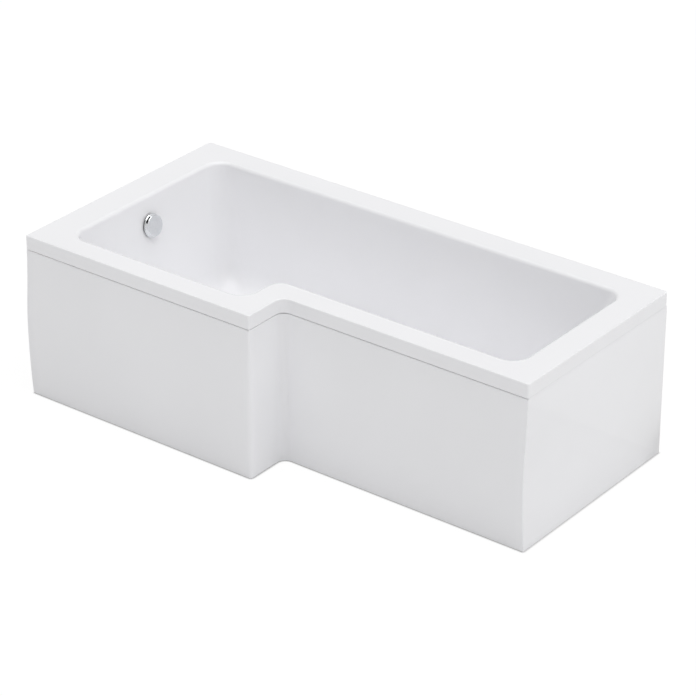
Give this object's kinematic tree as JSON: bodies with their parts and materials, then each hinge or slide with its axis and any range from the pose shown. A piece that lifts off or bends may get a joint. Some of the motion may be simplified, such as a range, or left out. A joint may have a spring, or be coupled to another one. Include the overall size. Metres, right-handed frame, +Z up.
{
  "type": "l-shaped shower bath",
  "caption": "L-shaped shower bath with a wide shower end, bowed front panel, end panel, adjustable feet, and a turn-to-open waste with overflow",
  "frame": {"origin": "on the floor, under the middle of the whole outline", "axes": "+X from the wide shower end to the narrow end, +Y to the back wall, +Z up"},
  "size_m": [1.7, 0.8608, 0.53],
  "materials": {
    "white_acrylic": "white sanitary acrylic, high gloss",
    "softwood": "planed softwood, unfinished",
    "chipboard": "raw chipboard under a thin resin coat",
    "zinc_plated_steel": "bright zinc plate on pressed steel",
    "white_plastic": "moulded white nylon",
    "chrome": "polished chrome plate",
    "black_rubber": "black rubber",
    "brass": "turned brass",
    "black_plastic": "moulded black polypropylene",
    "grey_plastic": "grey corrugated polypropylene hose"
  },
  "bodies": {
    "bath": {"base_board": "chipboard", "bath_shell": "white_acrylic", "board_screws": "zinc_plated_steel", "cable_ferrule_lower": "brass", "cable_ferrule_upper": "brass", "control_cable": "black_plastic", "cross_rail_narrow": "zinc_plated_steel", "cross_rail_wide": "zinc_plated_steel", "end_panel": "white_acrylic", "front_panel": "white_acrylic", "hose_nut_lower": "black_plastic", "hose_nut_upper": "black_plastic", "lower_nuts": "zinc_plated_steel", "middle_bracket": "zinc_plated_steel", "overflow_body": "black_plastic", "overflow_faceplate": "chrome", "overflow_gasket": "black_rubber", "overflow_hose": "grey_plastic", "panel_clip_end_back": "zinc_plated_steel", "panel_clip_end_front": "zinc_plated_steel", "panel_clip_narrow_left": "zinc_plated_steel", "panel_clip_narrow_right": "zinc_plated_steel", "panel_clip_wide_left": "zinc_plated_steel", "panel_clip_wide_right": "zinc_plated_steel", "panel_rail_end_bottom": "softwood", "panel_rail_end_top": "softwood", "panel_rail_narrow_bottom": "softwood", "panel_rail_narrow_top": "softwood", "panel_rail_step_bottom": "softwood", "panel_rail_step_top": "softwood", "panel_rail_wide_bottom": "softwood", "panel_rail_wide_top": "softwood", "rim_batten_back": "softwood", "rim_batten_front_narrow": "softwood", "rim_batten_front_wide": "softwood", "rim_batten_left": "softwood", "rim_batten_right": "softwood", "rim_batten_step": "softwood", "upper_nuts": "zinc_plated_steel", "wall_bracket_back_left": "zinc_plated_steel", "wall_bracket_back_right": "zinc_plated_steel", "wall_bracket_left": "zinc_plated_steel", "waste_body": "black_plastic", "waste_flange": "chrome", "waste_gasket": "black_rubber"},
    "knob": {"overflow_knob": "chrome", "overflow_spindle": "brass"},
    "plug": {"waste_plug": "chrome", "plug_seal": "black_rubber", "plug_stem": "brass"},
    "foot_wide_back": {"foot_rod_wide_back": "zinc_plated_steel", "foot_pad_wide_back": "white_plastic"},
    "foot_wide_front": {"foot_rod_wide_front": "zinc_plated_steel", "foot_pad_wide_front": "white_plastic"},
    "foot_narrow_back": {"foot_rod_narrow_back": "zinc_plated_steel", "foot_pad_narrow_back": "white_plastic"},
    "foot_narrow_front": {"foot_rod_narrow_front": "zinc_plated_steel", "foot_pad_narrow_front": "white_plastic"},
    "foot_middle": {"foot_rod_middle": "zinc_plated_steel", "foot_pad_middle": "white_plastic"}
  },
  "joints": [
    {"name": "knob_turn", "type": "hinge", "parent": "bath", "child": "knob", "pos_m": [-0.72878, 0.00235, 0.438], "axis": [0.9848, 0, 0.1736], "range_deg": [0, 80]},
    {"name": "plug_lift", "type": "slide", "parent": "bath", "child": "plug", "axis": [0, 0, 1], "range_m": [0, 0.009]},
    {"name": "foot_wide_back_screw", "type": "slide", "parent": "bath", "child": "foot_wide_back", "axis": [0, 0, -1], "range_m": [-0.01, 0.014]},
    {"name": "foot_wide_front_screw", "type": "slide", "parent": "bath", "child": "foot_wide_front", "axis": [0, 0, -1], "range_m": [-0.01, 0.014]},
    {"name": "foot_narrow_back_screw", "type": "slide", "parent": "bath", "child": "foot_narrow_back", "axis": [0, 0, -1], "range_m": [-0.01, 0.014]},
    {"name": "foot_narrow_front_screw", "type": "slide", "parent": "bath", "child": "foot_narrow_front", "axis": [0, 0, -1], "range_m": [-0.01, 0.014]},
    {"name": "foot_middle_screw", "type": "slide", "parent": "bath", "child": "foot_middle", "axis": [0, 0, -1], "range_m": [-0.01, 0.014]}
  ],
  "couplings": [
    {"joint": "plug_lift", "follows": "knob_turn", "m_per_rad": 0.00644}
  ]
}
